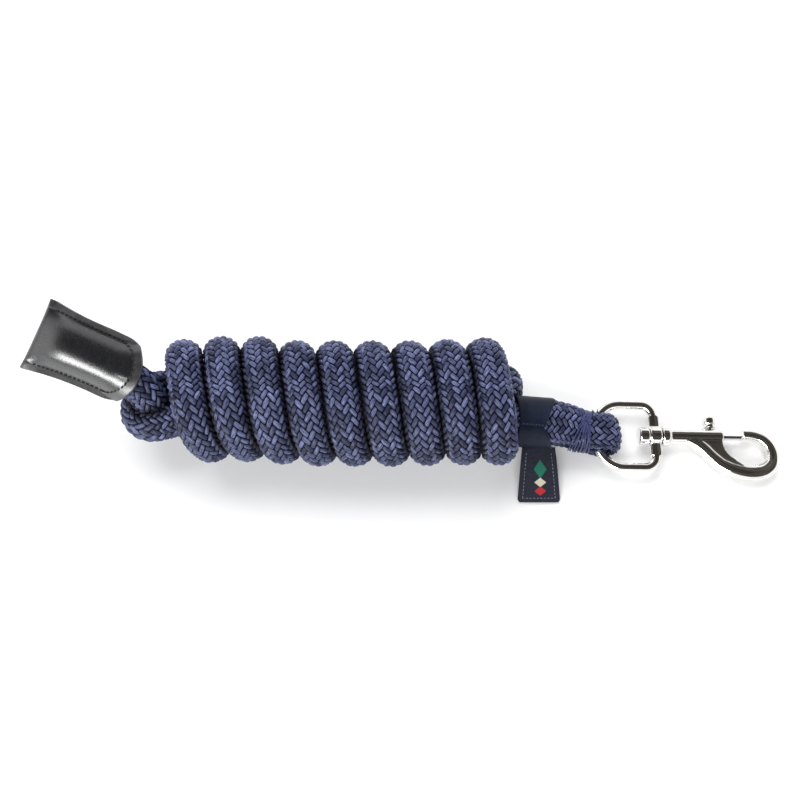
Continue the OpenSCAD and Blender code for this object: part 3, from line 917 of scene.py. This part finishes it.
def neck_loop(x_middle, lean, stand, phase, wobble):
    """A closed loop round the neck, further forward on its far side than on its near side."""
    points = []
    for a in np.linspace(0, 2 * math.pi, 49):
        x = x_middle + lean * math.cos(a) + wobble * math.sin(2 * a + phase)
        y, z, wide, high = (np.interp(x, EYE_STATIONS[:, 0], EYE_STATIONS[:, c]) for c in range(1, 5))
        points.append((x, y + (wide + stand) * squarer(math.cos(a), NECK_SQUARE),
                       z + (high + stand) * squarer(math.sin(a), NECK_SQUARE)))
    points[-1] = points[0]
    return points


WHIPPING_LOOPS = 12
WHIPPING_FROM = 114.0
WHIPPING_STEP = 0.42
WHIPPING_LEANS = (5.4, -1.0, 4.2)
WHIPPING_END = 120.7     # the far side reaches no further, so the ring clears it as it swings
rng = np.random.default_rng(3)
loops = []
for k in range(WHIPPING_LOOPS):
    middle = WHIPPING_FROM + WHIPPING_STEP * k
    lean = min(WHIPPING_LEANS[k % 3] + 0.6 * math.sin(2.1 * k), WHIPPING_END - middle)
    loops.append(neck_loop(middle, lean, -0.05 + 0.12 * (k % 3),
                           float(rng.uniform(0, 6.28)), float(rng.uniform(0.1, 0.35))))
whipping = thread_tubes("eye_whipping_thread", loops, 0.34)
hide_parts("eye_whipping")

tuft_routes = []
for k in range(9):
    root = np.array([121.2 + 0.35 * k, -4.0 + 0.1 * (k % 3), 14.4 - 0.3 * (k % 4)])
    lean = np.array([0.35 * (k - 4) / 4, 1.0, 0.5 + 0.15 * (k % 3)])
    reach = 2.5 + 0.4 * ((k * 7) % 4)
    tuft_routes.append([root, root + lean * reach * 0.4, root + lean * reach * 0.75 + (0.3, 0, -0.1),
                        root + lean * reach * 0.95 + (0.7 - 0.1 * k, 0, -0.3)])
tuft = thread_tubes("cut_thread_tuft", tuft_routes, 0.28, 6)

# ---------------------------------------------------------------- label

LABEL_L = 25.6
LABEL_PLY = 0.29         # from the label's middle to the middle of each of its two layers
LABEL_COLUMNS = 27
LABEL_INSET = 2.3        # from the side edges to the running stitch
LABEL_PITCH = 1.75
LABEL_FRAME = np.array(Matrix.Translation((94.9, -18.4, 8.6)) @ Matrix.Rotation(math.radians(18.1), 4, "X"))


def label_half(v):
    """Half of the label's width at v below its sewn edge."""
    s = np.clip(v / LABEL_L, 0, 1)
    corner = np.clip((v - LABEL_L + 1.6) / 1.6, 0, 1)
    return 8.1 + 2.3 * s ** 0.85 - 1.3 * (1 - np.sqrt(1 - corner ** 2))


def label_bow(u, v):
    """The label bows a little as it hangs."""
    return 0.5 * np.sin(math.pi * v / LABEL_L) - 0.35 * (u / 10) ** 2 * (v / LABEL_L)


def label_strip(name):
    """The ribbon folded back on itself at the free edge, as one strip."""
    end = LABEL_L - LABEL_PLY
    front = [*np.linspace(-1.2, LABEL_L - 2, 30), *np.linspace(LABEL_L - 1.6, end, 6)]
    fold = [(end + LABEL_PLY * math.sin(a), LABEL_PLY * math.cos(a))
            for a in np.linspace(0, math.pi, 7)[1:-1]]
    strip = [(v, LABEL_PLY) for v in front] + fold + [(v, -LABEL_PLY) for v in reversed(front)]
    points, cloth = [], []
    for v, z in strip:
        for s in np.linspace(-1, 1, LABEL_COLUMNS):
            u = s * float(label_half(v))
            points.append((u, -v, z + float(label_bow(u, v))))
            cloth.append((u, -v, 1.0 if z > 0 else 0.0))
    obj = add_mesh(name, to_world(points, LABEL_FRAME) * MM, grid_faces(len(strip), LABEL_COLUMNS))
    vector_layer(obj, "cloth", cloth, "POINT")
    solid(obj, 0.5)
    return obj


label = label_strip("folded_label")
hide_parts("label")

label_rows = []
marks = []
for v in np.arange(2.2, LABEL_L - 2.4, LABEL_PITCH):
    for side_u in (-1, 1):
        marks.append((side_u * (float(label_half(v)) - LABEL_INSET), v, (0.06 * side_u, -1)))
for u in np.arange(-7.6, 7.7, LABEL_PITCH):
    marks.append((u, LABEL_L - 1.9, (1, 0)))
for u, v, way in marks:
    for over in (1, -1):
        middle = (u, -v, float(label_bow(u, v)) + over * 0.56)
        label_rows.append((to_world(middle, LABEL_FRAME), LABEL_FRAME[:3, :3] @ np.array([*way, 0]),
                           LABEL_FRAME[:3, :3] @ np.array([0, 0, over]), 1.15, 0.15, 0.6))
label_thread = beads("label_thread", label_rows)
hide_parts("label_stitching")

# ---------------------------------------------------------------- ring and snap

SNAP_FRAME = np.array(Matrix.Translation((124.4, -11.0, 8.4)) @ Matrix.Rotation(math.radians(3.5), 4, "Y"))


def lathe(profile, sides=64):
    """A shell turned round the X axis; profile is (x, radius) rows."""
    a = np.linspace(0, 2 * math.pi, sides, endpoint=False)
    rings = [np.stack([np.full(sides, x), r * np.cos(a), r * np.sin(a)], -1) for x, r in profile]
    return np.concatenate(rings), tube_faces(len(profile), sides), sides


def swept(rows, sides=40, closed=False, square=2.0):
    """A shell along rows of (x, y, half-width, half-thickness) in the snap's plane."""
    rows = np.asarray(rows, float)
    centre = np.stack([rows[:, 0], rows[:, 1], np.zeros(len(rows))], -1)
    out = np.cross(tangents(centre, closed), Z)
    a = np.linspace(0, 2 * math.pi, sides, endpoint=False)
    c, s = squarer(np.cos(a), 2 / square), squarer(np.sin(a), 2 / square)
    points = (centre[:, None] + out[:, None] * (rows[:, 2, None] * c)[..., None]
              + Z * (rows[:, 3, None] * s)[..., None])
    return points.reshape(-1, 3), tube_faces(len(rows), sides, closed), 0 if closed else sides


def join(name, shells):
    """Shells in the snap's frame as one object."""
    return add_shells(name, [(to_world(points, SNAP_FRAME), faces, sides) for points, faces, sides in shells])


def apply_modifiers(obj):
    """Leaves the object with its modified mesh and no modifiers."""
    done = bpy.data.meshes.new_from_object(obj.evaluated_get(bpy.context.evaluated_depsgraph_get()))
    obj.modifiers.clear()
    obj.data = done


SHARP = math.radians(34)     # an edge that turns more than this is shaded as a sharp one


def cast(name, parts, cutters, voxel, smoothing):
    """Shells fused into one casting with soft joins between them, then bored."""
    obj = join(name, parts)
    fuse = obj.modifiers.new("fuse", "REMESH")
    fuse.mode, fuse.voxel_size = "VOXEL", voxel * MM
    ease = obj.modifiers.new("ease", "SMOOTH")
    ease.factor, ease.iterations = 0.5, smoothing
    if cutters:
        tool = join(name + "_tool", cutters)
        bore = obj.modifiers.new("bore", "BOOLEAN")
        bore.operation, bore.object, bore.solver = "DIFFERENCE", tool, "MANIFOLD"
    apply_modifiers(obj)
    if cutters:
        bpy.data.objects.remove(tool)
    mesh = bmesh.new()
    mesh.from_mesh(obj.data)
    for face in mesh.faces:
        face.smooth = True
    for edge in mesh.edges:
        edge.smooth = len(edge.link_faces) == 2 and edge.calc_face_angle() < SHARP
    mesh.to_mesh(obj.data)
    mesh.free()
    return obj


def box_part(low, high):
    """A box, from its lowest to its highest corner, as a part of a casting."""
    x0, y0, z0 = low
    x1, y1, z1 = high
    ring = [(y0, z0), (y1, z0), (y1, z1), (y0, z1)]
    points = np.array([(x, y, z) for x in (x0, x1) for y, z in ring], float)
    return points, tube_faces(2, 4), 4


RING_WIRE, RING_HALF, RING_L = 2.4, 16.2, 28.5
WIDE_CORNER, TIGHT_CORNER = 12, 6


def ring_outline():
    """The ring's middle line, a D with wide corners at the rope and tight ones at the boss."""
    rows = []

    def arc(cx, cy, r, start, end, count):
        for a in np.linspace(math.radians(start), math.radians(end), count, endpoint=False):
            rows.append((cx + r * math.cos(a), cy + r * math.sin(a), RING_WIRE, RING_WIRE))

    def straight(p, q, count):
        for s in np.linspace(0, 1, count, endpoint=False):
            rows.append((p[0] + (q[0] - p[0]) * s, p[1] + (q[1] - p[1]) * s, RING_WIRE, RING_WIRE))

    wide, tight = WIDE_CORNER, TIGHT_CORNER
    left, right = RING_HALF - wide, RING_HALF - tight
    straight((0, left), (0, -left), 12)
    arc(wide, -left, wide, 180, 270, 26)
    straight((wide, -RING_HALF), (RING_L - tight, -RING_HALF), 14)
    arc(RING_L - tight, -right, tight, 270, 360, 16)
    straight((RING_L, -right), (RING_L, right), 20)
    arc(RING_L - tight, right, tight, 0, 90, 16)
    straight((RING_L - tight, RING_HALF), (wide, RING_HALF), 14)
    arc(wide, left, wide, 90, 180, 26)
    return rows


boss_bar = [(RING_L, y, 2.9, 2.28) for y in np.linspace(-10.2, 10.2, 21)]
ring = cast("ring_casting",
            [swept(ring_outline(), 32, closed=True), swept(boss_bar, 32, square=4.0),
             lathe([(25.5, 4.2), (25.9, 4.6), (26.4, 4.8), (30.6, 4.8), (31.1, 4.6), (31.5, 4.2)])],
            [lathe([(24.0, 2.65), (33.0, 2.65)], 48)], 0.24, 18)
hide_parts("swivel_eye")

rivet = cast("rivet_turned",
             [lathe([(20.3, 3.6), (20.6, 4.2), (21.1, 4.6), (24.6, 4.6), (25.3, 4.3)]),
              lathe([(24.9, 2.6), (38.0, 2.6)])], [], 0.25, 3)
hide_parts("swivel_rivet")

HOOK = [(41.0, 0.2, 3.4, 3.5), (46.0, -1.4, 3.4, 3.5), (51.8, -5.2, 3.3, 3.5), (56.0, -9.7, 3.3, 3.5),
        (60.6, -13.8, 3.5, 3.5), (67.8, -16.9, 3.9, 3.5), (75.0, -18.0, 4.1, 3.5), (82.0, -16.8, 4.0, 3.3),
        (86.2, -13.1, 3.6, 3.1), (87.2, -8.5, 3.1, 2.9), (86.2, -4.4, 2.9, 2.8), (83.7, -1.2, 2.8, 2.7),
        (80.6, 0.6, 2.7, 2.6), (76.6, 1.5, 2.6, 2.5), (73.0, 1.6, 2.6, 2.5)]
# The flat web between the barrel and the hook's tube, as its outline in the snap's plane.
WEB = [(46.0, 0.0), (61.6, 0.8), (61.9, -4.0), (62.6, -7.2), (65.2, -10.3), (68.2, -12.7), (71.5, -15.0),
       (74.0, -17.0), (67.0, -16.0), (60.0, -12.6), (55.0, -7.6), (50.0, -3.4)]


def plate(outline, half):
    """A flat plate with the given outline, centred on the snap's plane."""
    points = np.array([(x, y, z) for z in (-half, half) for x, y in outline], float)
    return points, tube_faces(2, len(outline)), len(outline)


def dense(rows, step=0.5):
    """The same rows on one smooth curve, step apart."""
    table = np.array([(x, y, 0.0, w, h) for x, y, w, h in rows])
    smooth = curve_through(table, step)
    return smooth[:, [0, 1, 3, 4]]


barrel = [(31.8, 4.4), (32.1, 4.8), (32.6, 5.0), (34.9, 5.0), (35.3, 4.8), (35.7, 4.15), (36.4, 4.0),
          (44.0, 4.05), (54.0, 4.1), (61.6, 4.1), (62.1, 3.9), (62.4, 3.5)]
SLOT_FROM, SLOT_TO = 45.2, 58.3
snap = cast("snap_casting",
            [lathe(barrel), swept(dense(HOOK), 40, square=2.3), plate(WEB, 3.0)],
            [lathe([(31.0, 2.6), (38.0, 2.6)], 48), lathe([(37.9, 2.55), (61.0, 2.55)], 48),
             lathe([(60.5, 1.5), (72.9, 1.5)], 48),
             box_part((SLOT_FROM, 0.0, -1.35), (SLOT_TO, 12.0, 1.35))],
            0.26, 18)
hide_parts("snap_body")

rod = cast("bolt_turned",
           [lathe([(53.0, 2.3), (53.2, 2.5), (60.6, 2.5), (60.8, 2.3)]),
            lathe([(53.2, 1.45), (72.4, 1.45), (72.7, 1.25)])], [], 0.2, 2)
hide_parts("bolt")

KNOB_X = 57.0


def knob_part(profile):
    """A turned part on the knob's own axis, which points to the snap's far side."""
    points, faces, sides = lathe(profile, 48)
    return np.stack([KNOB_X + points[:, 1], points[:, 0], points[:, 2]], -1), faces, sides


knob = cast("thumb_knob_turned",
            [knob_part([(2.3, 1.3), (5.2, 1.3)]), knob_part([(4.6, 2.4), (4.8, 2.7), (6.0, 2.7), (6.3, 2.3)]),
             knob_part([(6.2, 2.5), (6.6, 3.1), (7.2, 3.3), (9.1, 3.3), (9.8, 3.0), (10.2, 2.3)])],
            [], 0.2, 2)
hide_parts("thumb_knob")

COIL_FROM, COIL_TO, COIL_R = 38.5, 52.5, 2.1
COIL_TURNS, COIL_STEPS = 6, 24
coil = []
for k in range(COIL_TURNS * COIL_STEPS + 1):
    a = 2 * math.pi * k / COIL_STEPS
    x = COIL_FROM + (COIL_TO - COIL_FROM) * k / (COIL_TURNS * COIL_STEPS)
    coil.append((x, COIL_R * math.cos(a), COIL_R * math.sin(a)))
spring = thread_tubes("return_spring", [to_world(coil, SNAP_FRAME)], 0.28)
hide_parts("bolt_spring")
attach(spring, "snap")
tuple(to_world((38.2, 0, 0), SNAP_FRAME) * MM)
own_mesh(spring)

# ---------------------------------------------------------------- bodies and finishes

for body, slot, material, members in (
        ("rope", "braided_rope", FILLING, [filling]),
        ("rope", "braided_rope", YARN, covers),
        ("rope", "black_leather", LEATHER, [cap]),
        ("rope", "black_thread", BLACK_THREAD, [cap_thread]),
        ("rope", "navy_sleeve", SLEEVE, [sleeve]),
        ("rope", "navy_thread", SEAM_THREAD, [seam]),
        ("rope", "navy_thread", NAVY_THREAD, [whipping]),
        ("rope", "navy_thread", BLACK_THREAD, [tuft]),
        ("label_flag", "woven_label", RIBBON, [label]),
        ("label_flag", "grey_thread", GREY_THREAD, [label_thread]),
        ("ring", "bright_plating", NICKEL, [ring]),
        ("snap", "bright_plating", NICKEL, [rivet, snap]),
        ("bolt_unit", "bright_plating", NICKEL, [rod, knob])):
    for piece in members:
        dress(piece, material)
        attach(piece, body)
dress(spring, STEEL)

# ---------------------------------------------------------------- floor and light

FLOOR_HALF, FLOOR_Z = 3, -0.0004
floor_corners = [(x * FLOOR_HALF, y * FLOOR_HALF, FLOOR_Z) for x, y in ((-1, -1), (1, -1), (1, 1), (-1, 1))]
floor = add_mesh("floor", floor_corners, [[0, 1, 2, 3]], smooth=False)
dress(floor, floor_material())


def softbox(name, place, aim, size, power):
    data = bpy.data.lights.new(name, "AREA")
    data.shape, data.size, data.size_y, data.energy = "RECTANGLE", *size, power
    obj = bpy.data.objects.new(name, data)
    obj.location = place
    obj.rotation_euler = (Vector(aim) - Vector(place)).to_track_quat("-Z", "Y").to_euler()
    scene.collection.objects.link(obj)
    return obj


# Two soft lamps from the far side and one from the near side light the paper and the rope. One more is
# only mirrored: it gives the leather and the yarn their shine.
softbox("overhead_softbox", (-0.22, 0.58, 1.0), (0.0, 0, 0.02), (1.1, 0.7), 13).visible_glossy = False
softbox("far_softbox", (0.10, 0.80, 0.50), (0.03, 0, 0.02), (1.2, 0.35), 5).visible_glossy = False
softbox("near_softbox", (-0.10, -0.80, 0.70), (0.03, 0, 0.02), (1.2, 0.6), 10).visible_glossy = False
softbox("shine_softbox", (-0.48, -0.70, 0.50), (-0.05, 0, 0.02), (1.3, 0.3), 20).visible_diffuse = False

# The world: its tone goes by height, and broad soft patches make it less even.
studio = Nodes("studio", bpy.data.worlds, "Background")
way = studio.node("TexCoord").outputs["Generated"]
ramp = studio.node("ValToRGB", {0: studio.node("SeparateXYZ", {0: way}).outputs[2]})
stops = ((0.0, (0.35, 0.35, 0.35)), (0.06, (0.5, 0.5, 0.5)), (0.13, (1.0, 1.0, 1.0)), (0.42, (1.0, 1.0, 1.0)),
         (0.54, (0.22, 0.21, 0.20)), (0.64, (0.045, 0.041, 0.036)), (0.80, (0.095, 0.088, 0.078)),
         (0.90, (0.030, 0.027, 0.024)), (1.0, (0.060, 0.055, 0.050)))
while len(ramp.color_ramp.elements) < len(stops):
    ramp.color_ramp.elements.new(0.5)
for element, (at, tone) in zip(ramp.color_ramp.elements, stops):
    element.position, element.color = at, (*tone, 1)
patches = studio.ramp(studio.noise(way, 2.4, 2.0), 0.35, 0.65, 0.75, 1.55)
studio.link(ramp.outputs[0], studio.shader.inputs["Color"])
studio.link(patches, studio.shader.inputs["Strength"])
scene.world = studio.made
scene.view_settings.view_transform = "Standard"
